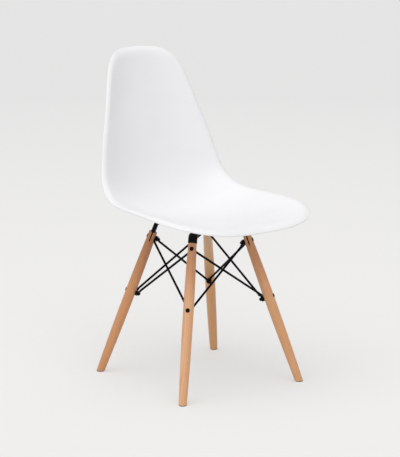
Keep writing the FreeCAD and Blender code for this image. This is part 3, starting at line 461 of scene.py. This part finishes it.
# %% [markdown]
# The blank starts as a circle primitive. Its points are set on the outline, and the ring
# is then extruded inwards again and again, each time a little smaller, so the rings lie
# close together where the lip will bend and wider apart in the seat. The middle is filled
# with a grid of four-sided faces. Subdivision likes those, and a pole of triangles in the
# middle of a glossy seat would show as a star. The first rings step inwards by
# millimetres, and the others lie at shares of the way from the deepest place to the edge.

# %% Cut the flat blank
OUTLINE_POINTS = 96
LIP_STEPS = (2.4, 6.0, 10.5, 16.0, 23.0, 33.0)
OPEN_SHARES = (0.78, 0.66, 0.54, 0.42, 0.31, 0.21)


def deselect():
    """Nothing selected, so that an operator acts on the new piece alone."""
    if bpy.context.mode != "OBJECT":
        bpy.ops.object.mode_set(mode="OBJECT")
    bpy.ops.object.select_all(action="DESELECT")


deselect()
bpy.ops.mesh.primitive_circle_add(vertices=OUTLINE_POINTS, radius=1)
shell = bpy.context.object
shell.name = "moulded_shell"
outline = edge_place(np.arange(OUTLINE_POINTS) * edge_span / OUTLINE_POINTS)
for vertex, (along, across, _) in zip(shell.data.vertices, outline):
    vertex.co = (across, along - DEEPEST, 0)
bpy.ops.object.mode_set(mode="EDIT")
bpy.ops.mesh.select_all(action="SELECT")
for inwards in LIP_STEPS + OPEN_SHARES:
    bpy.ops.mesh.extrude_region_move()
    blank = bmesh.from_edit_mesh(shell.data)
    ring = [v for v in blank.verts if v.select]
    for vertex in ring:
        turn = math.atan2(abs(vertex.co.x), vertex.co.y)
        edge_reach = np.interp(turn, edge_turn, edge_reaches)
        in_mm = inwards in LIP_STEPS
        wanted = edge_reach - inwards if in_mm else edge_reach * inwards
        vertex.co *= wanted / vertex.co.length
    bmesh.update_edit_mesh(shell.data)
bpy.ops.mesh.fill_grid(span=OUTLINE_POINTS // 4)
bpy.ops.object.mode_set(mode="OBJECT")
print("faces in the blank:", len(shell.data.polygons))

# %% [markdown]
# Every point of the blank now goes through the rule. Extruding can leave faces that look
# the wrong way, so they are made to agree, with the seat's faces upwards, before the wall
# gets its thickness: Solidify needs to know which side is which. Two levels of subdivision
# turn the coarse net into a smooth wall. Both modifiers are applied, because the bosses
# need real faces to reach.

# %% Press it, thicken it and smooth it
SMOOTH_LEVELS = 2

for vertex in shell.data.vertices:
    vertex.co = pressed(vertex.co.y + DEEPEST, vertex.co.x)
bpy.ops.object.mode_set(mode="EDIT")
bpy.ops.mesh.select_all(action="SELECT")
bpy.ops.mesh.normals_make_consistent(inside=False)
bpy.ops.object.mode_set(mode="OBJECT")
seat_face = min(shell.data.polygons, key=lambda f: (f.center - pressed(DEEPEST, 0)).length)
if seat_face.normal.z < 0:
    shell.data.flip_normals()
thicken = shell.modifiers.new("wall", "SOLIDIFY")
thicken.thickness = WALL / 1000
thicken.offset = 0
thicken.use_even_offset = True
smoother = shell.modifiers.new("smooth", "SUBSURF")
smoother.levels = SMOOTH_LEVELS
smoother.render_levels = SMOOTH_LEVELS
for modifier in ("wall", "smooth"):
    bpy.ops.object.modifier_apply(modifier=modifier)
print("faces in the bare shell:", len(shell.data.polygons))

# %% [markdown]
# Four bosses under the seat carry the screws. A boss starts as a cone primitive, a little
# wider at the top so that it would leave its mould. Its lower face is inset and pushed
# in, which makes the pocket for the brass insert. A ray sent up from below finds the wall
# over the boss, and so the boss's height. From here on the measures are in metres.

# %% A boss with its pocket
BOSS_FOOT = BOSS_FACE / 1000
HALF_WALL = WALL / 2000
STANCE_Y = -0.0185
BOSS_RADIUS = 0.012
BOSS_DRAFT = 0.0015
BOSS_SIDES = 48
INSERT_RADIUS = 0.0046
INSERT_DEPTH = 0.0086
RAY_START = 0.1
FACING_DOWN = -0.9


def wall_above(x, y):
    """Height of the wall's lower face over a place on the plan."""
    start = Vector((x, y, BOSS_FOOT - RAY_START))
    _, spot, _, _ = shell.ray_cast(start, Vector((0, 0, 1)))
    return spot.z


def add_boss(x, y):
    """Screw boss with a pocket for its insert."""
    top = wall_above(x, y) + HALF_WALL
    height = top - BOSS_FOOT
    deselect()
    bpy.ops.mesh.primitive_cone_add(
        vertices=BOSS_SIDES, radius1=BOSS_RADIUS, radius2=BOSS_RADIUS + BOSS_DRAFT,
        depth=height, location=(x, y, BOSS_FOOT + height / 2),
    )
    boss = bpy.context.object
    bpy.ops.object.mode_set(mode="EDIT")
    bpy.ops.mesh.select_all(action="DESELECT")
    solid = bmesh.from_edit_mesh(boss.data)
    for face in solid.faces:
        face.select_set(face.normal.z < FACING_DOWN)
    bmesh.update_edit_mesh(boss.data)
    bpy.ops.mesh.inset(thickness=BOSS_RADIUS - INSERT_RADIUS)
    bpy.ops.mesh.extrude_region_move(
        TRANSFORM_OT_translate={"value": (0, 0, INSERT_DEPTH), "orient_type": "GLOBAL"}
    )
    bpy.ops.object.mode_set(mode="OBJECT")
    bpy.ops.object.transform_apply(location=True, rotation=True, scale=True)
    return boss


print("wall over the middle of the stance:", round(wall_above(0, STANCE_Y), 4), "m")

# %% [markdown]
# In a moulding a boss stands on ribs, called gussets, so that it doesn't break off when
# someone rocks on the chair. A gusset is a cube whose corners are moved: its top runs up
# into the wall, and its lower edge slopes from the boss out to the wall.

# %% A gusset
GUSSET_REACH = 0.027
GUSSET_ROOT = 0.008
GUSSET_HALF = 0.0015
GUSSET_SETBACK = 0.0015
GUSSET_TOE = 0.0005


def add_gusset(x, y, way):
    """Rib from a boss out along the given direction."""
    side = Vector((-way.y, way.x, 0))
    toe_x, toe_y = x + way.x * GUSSET_REACH, y + way.y * GUSSET_REACH
    root_top = wall_above(x + way.x * GUSSET_ROOT, y + way.y * GUSSET_ROOT)
    toe_low = wall_above(toe_x, toe_y)
    fall = toe_low - GUSSET_TOE - BOSS_FOOT - GUSSET_SETBACK
    slope = fall / (GUSSET_REACH - BOSS_RADIUS)
    root_low = BOSS_FOOT + GUSSET_SETBACK - slope * (BOSS_RADIUS - GUSSET_ROOT)
    deselect()
    bpy.ops.mesh.primitive_cube_add(size=2)
    rib = bpy.context.object
    for vertex in rib.data.vertices:
        outer, left, upper = vertex.co.x > 0, vertex.co.y > 0, vertex.co.z > 0
        out = GUSSET_REACH if outer else GUSSET_ROOT
        low = toe_low - GUSSET_TOE if outer else max(root_low, BOSS_FOOT + GUSSET_TOE)
        high = (toe_low if outer else root_top) + HALF_WALL
        foot = Vector((x, y, high if upper else low))
        vertex.co = foot + way * out + side * (GUSSET_HALF if left else -GUSSET_HALF)
    return rib


print("a gusset is", GUSSET_HALF * 2000, "mm thick")

# %% [markdown]
# The screws sit on a circle around the middle of the stance, one in each diagonal. Each
# boss gets four gussets, a quarter turn apart. Their edges are bevelled a little, as a
# mould leaves them, and then all of it is joined to the shell as one piece. Smooth
# shading stays off where two faces meet at more than the given angle.

# %% Place the bosses and join them
SCREW_CIRCLE = 0.078
MOULDED_EDGE = 0.0003
SMOOTH_BELOW = math.radians(48)

under_parts = []
for quarter in range(4):
    turn = math.radians(45 + 90 * quarter)
    x, y = SCREW_CIRCLE * math.cos(turn), STANCE_Y + SCREW_CIRCLE * math.sin(turn)
    under_parts.append(add_boss(x, y))
    for rib_turn in range(4):
        angle = turn + math.radians(90 * rib_turn)
        under_parts.append(add_gusset(x, y, Vector((math.cos(angle), math.sin(angle), 0))))
for part in under_parts:
    bpy.context.view_layer.objects.active = part
    deselect()
    part.select_set(True)
    bpy.ops.object.mode_set(mode="EDIT")
    bpy.ops.mesh.select_all(action="SELECT")
    bpy.ops.mesh.normals_make_consistent(inside=False)
    bpy.ops.mesh.bevel(offset=MOULDED_EDGE, segments=1, affect="EDGES", clamp_overlap=True)
    bpy.ops.object.mode_set(mode="OBJECT")
deselect()
for part in under_parts + [shell]:
    part.select_set(True)
bpy.context.view_layer.objects.active = shell
bpy.ops.object.join()
bpy.ops.object.shade_smooth_by_angle(angle=SMOOTH_BELOW)
print("faces in the shell with its bosses:", len(shell.data.polygons))

# %% [markdown]
# The finished shell gets its plastic and rides on the root body, and the CAD shell that
# it replaces is hidden. The box of the new shell is printed.

# %% Finish the shell
shell.data.materials.clear()
shell.data.materials.append(shell_plastic)
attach(shell, "root")
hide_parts("seat_shell")
lowest, highest = shell.bound_box[0], shell.bound_box[6]
print("shell box:", [round(v, 4) for v in lowest], [round(v, 4) for v in highest])

# %% [markdown]
# ## Beech legs
#
# Beech is a pale pinkish brown wood with three things to see: faint growth rings, fine
# straight fibres along the leg, and short dark flecks a millimetre or two long. The grain
# has to run along each leg, and the four legs splay in four directions. So each leg has
# its own material with a Mapping node that turns the pattern to that leg's axis, and all
# four share one node group that draws the wood. The middle of the tree lies outside the
# leg, because a dowel is turned from a plank.

# %% Growth rings
WOOD_INPUTS = [
    ("Vector", "NodeSocketVector"),
    ("Early Wood", "NodeSocketColor"),
    ("Late Wood", "NodeSocketColor"),
    ("Fleck", "NodeSocketColor"),
    ("Painted Top Shading", "NodeSocketColor"),
    ("Ring Width", "NodeSocketFloat"),
]
WANDER_CELLS = (14, 3.5)
WANDER_RINGS = 3.2
RING_FADE = (0.25, 1.0)


def streaks(tree, place, across, along, detail=2.0, roughness=0.5):
    """Noise drawn out along the leg, in cells per metre across it and along it."""
    stretched = add_node(tree, "ShaderNodeVectorMath", operation="MULTIPLY")
    tree.links.new(place, stretched.inputs[0])
    stretched.inputs[1].default_value = (across, across, along)
    return noise(tree, stretched.outputs["Vector"], 1, detail, roughness)


wood_group, given, made = start_group("beech_grain", WOOD_INPUTS, SURFACE_OUTPUTS)
grain_place = given.outputs["Vector"]
wander = streaks(wood_group, grain_place, *WANDER_CELLS)
axis_parts = add_node(wood_group, "ShaderNodeSeparateXYZ")
wood_group.links.new(grain_place, axis_parts.inputs["Vector"])
across_x, across_y, up_leg = (axis_parts.outputs[axis] for axis in "XYZ")
square_y = maths(wood_group, "MULTIPLY", across_y, across_y)
square_reach = maths(wood_group, "MULTIPLY_ADD", across_x, across_x, square_y)
from_pith = maths(wood_group, "SQRT", square_reach)
ring_count = maths(
    wood_group, "ADD",
    maths(wood_group, "DIVIDE", from_pith, given.outputs["Ring Width"]),
    maths(wood_group, "MULTIPLY", wander, WANDER_RINGS),
)
ring_share = map_range(
    wood_group, maths(wood_group, "FRACT", ring_count), *RING_FADE, smooth=True
)
print("nodes that draw the rings:", len(wood_group.nodes))

# %% [markdown]
# Fibres, broad bands and flecks are the same noise at different sizes, drawn out along
# the leg. Rings, fibres and bands add up to the share of the darker late wood. Near the
# top a painted shading is laid over the wood: darker on three legs and lighter on one,
# for the light and shade that fall there under the seat. Flecks lie over all of it, and
# also sink a little into the surface.

# %% Fibres, flecks and painted top shading
FIBRE_CELLS = (900, 22)
FLECK_CELLS = (1300, 330)
BROAD_CELLS = (60, 6)
NOISE_RANGE = (0.3, 0.7)
FLECK_RANGE = (0.63, 0.74)
RING_PART, FIBRE_PART, BROAD_PART, FLECK_PART = 0.38, 0.34, 0.28, 0.55
# Heights on the leg over which the painted top shading fades in, and its full share.
TOP_SHADING_FADE = (0.24, 0.36)
TOP_SHADING_PART = 0.75
WOOD_ROUGHNESS = (0.36, 0.5)
FIBRE_HEIGHT = 0.5

fibres = streaks(wood_group, grain_place, *FIBRE_CELLS, 4.0, 0.6)
fleck_field = streaks(wood_group, grain_place, *FLECK_CELLS, 1.0)
flecks = map_range(wood_group, fleck_field, *FLECK_RANGE, smooth=True)
broad = streaks(wood_group, grain_place, *BROAD_CELLS)
fibre_share = map_range(wood_group, fibres, *NOISE_RANGE)
broad_share = map_range(wood_group, broad, *NOISE_RANGE)
streak_share = maths(
    wood_group, "ADD",
    maths(wood_group, "MULTIPLY", fibre_share, FIBRE_PART),
    maths(wood_group, "MULTIPLY", broad_share, BROAD_PART),
)
late_share = maths(
    wood_group, "ADD", maths(wood_group, "MULTIPLY", ring_share, RING_PART), streak_share
)
wood_colour = blend_colours(
    wood_group, late_share, given.outputs["Early Wood"], given.outputs["Late Wood"]
)
# Painted shading near the top of each leg, for the light and shade that fall there under the
# seat.
top_shading_share = map_range(wood_group, up_leg, *TOP_SHADING_FADE, 0, TOP_SHADING_PART, smooth=True)
top_shaded = blend_colours(wood_group, top_shading_share, wood_colour, given.outputs["Painted Top Shading"])
fleck_share = maths(wood_group, "MULTIPLY", flecks, FLECK_PART)
flecked = blend_colours(wood_group, fleck_share, top_shaded, given.outputs["Fleck"])
wood_roughness = map_range(wood_group, fibres, *NOISE_RANGE, *WOOD_ROUGHNESS)
fibre_height = maths(wood_group, "MULTIPLY", fibres, FIBRE_HEIGHT)
wood_height = maths(wood_group, "SUBTRACT", fibre_height, fleck_share)
wood_group.links.new(flecked, made.inputs["Colour"])
wood_group.links.new(wood_roughness, made.inputs["Roughness"])
wood_group.links.new(wood_height, made.inputs["Height"])
print("beech group nodes:", len(wood_group.nodes))

# %% [markdown]
# The grain follows each leg, so the place and the lean of each leg's axis are needed. The
# feet stand on a circle around the middle of the stance, the tops on a smaller one, and
# the lean is the slope between the two.

# %% Where each leg stands
STANCE_CENTRE = Vector((0, STANCE_Y, 0))
FOOT_RADIUS = 0.2597
TOP_RADIUS = 0.1202
TOP_HEIGHT = 0.377
LEG_ANGLES = {
    "leg_front_left": -45,
    "leg_front_right": -135,
    "leg_rear_left": 45,
    "leg_rear_right": 135,
}
LEG_TILT = math.atan2(FOOT_RADIUS - TOP_RADIUS, TOP_HEIGHT)


def leg_frame(name):
    """Foot of a leg's axis and the turn that points Z up the leg and X outwards."""
    turn = math.radians(LEG_ANGLES[name])
    outwards = Vector((math.cos(turn), math.sin(turn), 0))
    foot = STANCE_CENTRE + outwards * FOOT_RADIUS
    rotation = Euler((0, -LEG_TILT, turn), "XYZ").to_matrix()
    return foot, rotation


print("legs lean", round(math.degrees(LEG_TILT), 1), "degrees")

# %% [markdown]
# No two legs come from the same plank. Each has its own tones for early wood and late
# wood, its own painted top shading, and its own distance from the middle of the tree.
# Colours are picked as a picture editor shows them, from 0 to 255, but a shader works
# with amounts of light, so srgb turns one into the other. Its numbers are those of the
# sRGB standard.

# %% Beech material for each leg
PITH_OFFSETS = {
    "leg_front_left": (0.075, 0.02),
    "leg_front_right": (-0.05, 0.06),
    "leg_rear_left": (0.03, -0.09),
    "leg_rear_right": (-0.085, -0.01),
}


def srgb(red, green, blue):
    """Colour as a picture editor shows it, 0 to 255, turned into the light it stands for."""
    def light(value):
        value = value / 255
        return value / 12.92 if value <= 0.04045 else ((value + 0.055) / 1.055) ** 2.4
    return (light(red), light(green), light(blue), 1)


# Early wood, late wood, and each leg's painted top shading: darker on three legs, lighter on
# the rear left one.
WOOD_AND_TOP_SHADING_TONES = {
    "leg_front_left": (srgb(228, 174, 128), srgb(198, 141, 95), srgb(190, 130, 88)),
    "leg_front_right": (srgb(231, 179, 136), srgb(203, 146, 101), srgb(196, 134, 92)),
    "leg_rear_left": (srgb(222, 170, 122), srgb(195, 140, 93), srgb(226, 190, 152)),
    "leg_rear_right": (srgb(216, 157, 109), srgb(188, 127, 81), srgb(172, 114, 74)),
}
FLECK_COLOUR = srgb(158, 104, 66)
RING_WIDTH = 0.0042
WOOD_BUMP = 0.35
WOOD_BUMP_HEIGHT = 0.0002
OIL_WEIGHT = 0.05
OIL_ROUGHNESS = 0.3


def beech_material(leg):
    """Wood whose grain runs up the given leg."""
    foot, rotation = leg_frame(leg)
    material, shader = start_material("beech_" + leg)
    tree = material.node_tree
    place = add_node(tree, "ShaderNodeTexCoord")
    along_leg = add_node(tree, "ShaderNodeMapping", vector_type="TEXTURE")
    pith = Vector((*PITH_OFFSETS[leg], 0))
    along_leg.inputs["Location"].default_value = foot + rotation @ pith
    along_leg.inputs["Rotation"].default_value = rotation.to_euler("XYZ")
    group = add_node(tree, "ShaderNodeGroup", node_tree=wood_group)
    # The third tone, top, is the painted shading near the top of the leg.
    early, late, top = WOOD_AND_TOP_SHADING_TONES[leg]
    for socket, value in (
        ("Early Wood", early), ("Late Wood", late), ("Painted Top Shading", top),
        ("Fleck", FLECK_COLOUR), ("Ring Width", RING_WIDTH),
    ):
        group.inputs[socket].default_value = value
    shader.inputs["Coat Weight"].default_value = OIL_WEIGHT
    shader.inputs["Coat Roughness"].default_value = OIL_ROUGHNESS
    tree.links.new(place.outputs["Object"], along_leg.inputs["Vector"])
    tree.links.new(along_leg.outputs["Vector"], group.inputs["Vector"])
    lead_to_shader(tree, group, shader, WOOD_BUMP, WOOD_BUMP_HEIGHT)
    return material


for leg in LEG_ANGLES:
    dress([leg], beech_material(leg))

# %% [markdown]
# ## Black steel and its fasteners
#
# The crossed bars and the bent rods are powder coated: nearly black, satin, with a fine
# orange peel. The bolts, nuts and washers are blackened steel, which is a little
# smoother and catches a sharper light. Both stay nearly black even in a pale room, so the
# base colour is close to zero and the shader's specular level is low.

# %% Black finishes
powder_black = skin_material(
    "black_powder_coat",
    main=(0.0042, 0.0042, 0.0044, 1), cloud=(0.0062, 0.0062, 0.0062, 1),
    clouds_per_m=40, grains_per_m=1600, rough=(0.42, 0.56), bump_mm=0.06,
    Specular_IOR_Level=0.06,
)
oxide_black = skin_material(
    "blackened_steel",
    main=(0.0045, 0.0043, 0.0043, 1), cloud=(0.0075, 0.0072, 0.0068, 1),
    clouds_per_m=220, grains_per_m=3000, rough=(0.36, 0.5), bump_mm=0.03,
    Specular_IOR_Level=0.08,
)
frame_nodes = sorted(n for n in cad if n.startswith("frame_"))
rod_nodes = sorted(n for n in cad if n.startswith("rod_") and n != "rod_eye_washers")
fastener_nodes = [
    "leg_bolts_upper", "leg_bolts_lower", "leg_cap_nuts", "leg_washers", "rod_eye_washers",
    "seat_screws_long", "seat_screws_short", "seat_screw_washers",
]
dress(frame_nodes + rod_nodes, powder_black)
dress(fastener_nodes, oxide_black)

# %% [markdown]
# ## Small parts under the seat
#
# Rubber spacers between the frame and the shell, plastic glides under the legs with a
# plated nail through each, and brass inserts in the shell's bosses. They are small, but
# each is a different material with its own dullness, and a view from below shows them.

# %% Rubber, glides, nails and inserts
spacer_rubber = skin_material(
    "black_rubber",
    main=(0.022, 0.022, 0.022, 1), cloud=(0.03, 0.03, 0.029, 1),
    clouds_per_m=120, grains_per_m=2200, rough=(0.7, 0.88), bump_mm=0.08,
)
glide_plastic = skin_material(
    "dark_glide_plastic",
    main=(0.055, 0.045, 0.038, 1), cloud=(0.075, 0.062, 0.052, 1),
    clouds_per_m=150, grains_per_m=2600, rough=(0.5, 0.68), bump_mm=0.06,
)
zinc_plate = skin_material(
    "zinc_plated_steel",
    main=(0.56, 0.56, 0.57, 1), cloud=(0.46, 0.46, 0.47, 1),
    clouds_per_m=300, grains_per_m=4000, rough=(0.26, 0.42), bump_mm=0.02,
    Metallic=1.0,
)
turned_brass = skin_material(
    "turned_brass",
    main=(0.72, 0.52, 0.24, 1), cloud=(0.58, 0.40, 0.18, 1),
    clouds_per_m=260, grains_per_m=3600, rough=(0.24, 0.4), bump_mm=0.02,
    Metallic=1.0,
)
dress(["spacers_tall", "spacers_thin"], spacer_rubber)
dress(sorted(n for n in cad if n.startswith("glide_") and n != "glide_nails"), glide_plastic)
dress(["glide_nails"], zinc_plate)
dress(["shell_inserts"], turned_brass)

# %% [markdown]
# ## Floor
#
# The studio is a pale grey sweep. A very wide disc stands for it, so wide that the camera
# never sees its edge. Its colour darkens a little with distance: painted shade for the
# light that falls off across the sweep. To the camera and in reflections it also glows a
# little, which makes it pale without more light on the chair, and it still takes the
# chair's shadow.

# %% Pale floor
FLOOR_RADIUS = 60
FLOOR_SIDES = 128
FLOOR_HEIGHT = -0.0002
FLOOR_SHADE_FADE = (0.6, 5.0)
NEAR_FLOOR = (0.87, 0.865, 0.855, 1)
SHADED_FAR_FLOOR = (0.78, 0.78, 0.775, 1)
FLOOR_ROUGHNESS = 0.9
FLOOR_SPECULAR = 0.1
FLOOR_GLOW = 0.4


def seen_rays(tree):
    """One where a ray from the camera, a gloss or a glass sees the background."""
    path = add_node(tree, "ShaderNodeLightPath")
    bent = maths(
        tree, "MAXIMUM", path.outputs["Is Glossy Ray"], path.outputs["Is Transmission Ray"]
    )
    return maths(tree, "MAXIMUM", path.outputs["Is Camera Ray"], bent)


deselect()
bpy.ops.mesh.primitive_circle_add(
    vertices=FLOOR_SIDES, radius=FLOOR_RADIUS, fill_type="NGON",
    location=(0, 0, FLOOR_HEIGHT),
)
floor = bpy.context.object
floor.name = "floor"
floor_paint, floor_shader = start_material("pale_sweep")
tree = floor_paint.node_tree
place = add_node(tree, "ShaderNodeTexCoord")
far = add_node(tree, "ShaderNodeVectorMath", operation="LENGTH")
tree.links.new(place.outputs["Object"], far.inputs[0])
# Painted shade: the floor darkens from the near colour to the far colour with distance from
# under the chair.
far_shade_share = map_range(tree, far.outputs["Value"], *FLOOR_SHADE_FADE)
floor_colour_and_shade = blend_colours(tree, far_shade_share, NEAR_FLOOR, SHADED_FAR_FLOOR)
tree.links.new(floor_colour_and_shade, floor_shader.inputs["Base Color"])
glow = add_node(tree, "ShaderNodeEmission")
tree.links.new(floor_colour_and_shade, glow.inputs["Color"])
glow_share = maths(tree, "MULTIPLY", seen_rays(tree), FLOOR_GLOW)
lit_floor = add_node(tree, "ShaderNodeMixShader")
tree.links.new(glow_share, lit_floor.inputs["Fac"])
tree.links.new(floor_shader.outputs["BSDF"], lit_floor.inputs[1])
tree.links.new(glow.outputs["Emission"], lit_floor.inputs[2])
floor_output = next(n for n in tree.nodes if n.type == "OUTPUT_MATERIAL")
tree.links.new(lit_floor.outputs["Shader"], floor_output.inputs["Surface"])
floor_shader.inputs["Roughness"].default_value = FLOOR_ROUGHNESS
floor_shader.inputs["Specular IOR Level"].default_value = FLOOR_SPECULAR
floor.data.materials.append(floor_paint)
print("floor radius:", FLOOR_RADIUS, "m")

# %% [markdown]
# ## Light
#
# Soft light comes from all sides, more from above than from the horizon, and a slightly
# stronger part from the upper left. A very wide sun lamp stands for that softbox, because
# it lights the floor evenly as far as the camera sees. The world gives the rest. Together
# they light a surface that faces up so that its colour renders about as it is written.

# %% Soft light
HORIZON_LEVEL = 0.27
ZENITH_LEVEL = 0.88
SUN_LEVEL = 1.3
SUN_SPREAD = math.radians(85)
SUN_FROM = Vector((-0.85, -0.5, 1.3))
ROOM_COLOUR = (1, 1, 1, 1)
SEEN_COLOUR = (0.76, 0.76, 0.755, 1)

world = bpy.data.worlds.new("studio")
bpy.context.scene.world = world
world.use_nodes = True
tree = world.node_tree
tree.nodes.clear()
sky = add_node(tree, "ShaderNodeBackground")
sky.inputs["Color"].default_value = ROOM_COLOUR
room = add_node(tree, "ShaderNodeTexCoord")
towards = add_node(tree, "ShaderNodeSeparateXYZ")
tree.links.new(room.outputs["Generated"], towards.inputs["Vector"])
room_level = map_range(tree, towards.outputs["Z"], 0.0, 1.0, HORIZON_LEVEL, ZENITH_LEVEL)
tree.links.new(room_level, sky.inputs["Strength"])
seen = add_node(tree, "ShaderNodeBackground")
seen.inputs["Color"].default_value = SEEN_COLOUR
choose = add_node(tree, "ShaderNodeMixShader")
world_output = add_node(tree, "ShaderNodeOutputWorld")
tree.links.new(seen_rays(tree), choose.inputs["Fac"])
tree.links.new(sky.outputs["Background"], choose.inputs[1])
tree.links.new(seen.outputs["Background"], choose.inputs[2])
tree.links.new(choose.outputs["Shader"], world_output.inputs["Surface"])

sun_data = bpy.data.lights.new("softbox", "SUN")
sun_data.energy = SUN_LEVEL
sun_data.angle = SUN_SPREAD
sun = bpy.data.objects.new("softbox", sun_data)
sun.rotation_euler = SUN_FROM.to_track_quat("Z", "Y").to_euler()
sun.location = SUN_FROM
bpy.context.scene.collection.objects.link(sun)
bpy.context.scene.view_settings.view_transform = "Standard"
print("room light", HORIZON_LEVEL, "to", ZENITH_LEVEL, "and softbox", SUN_LEVEL)
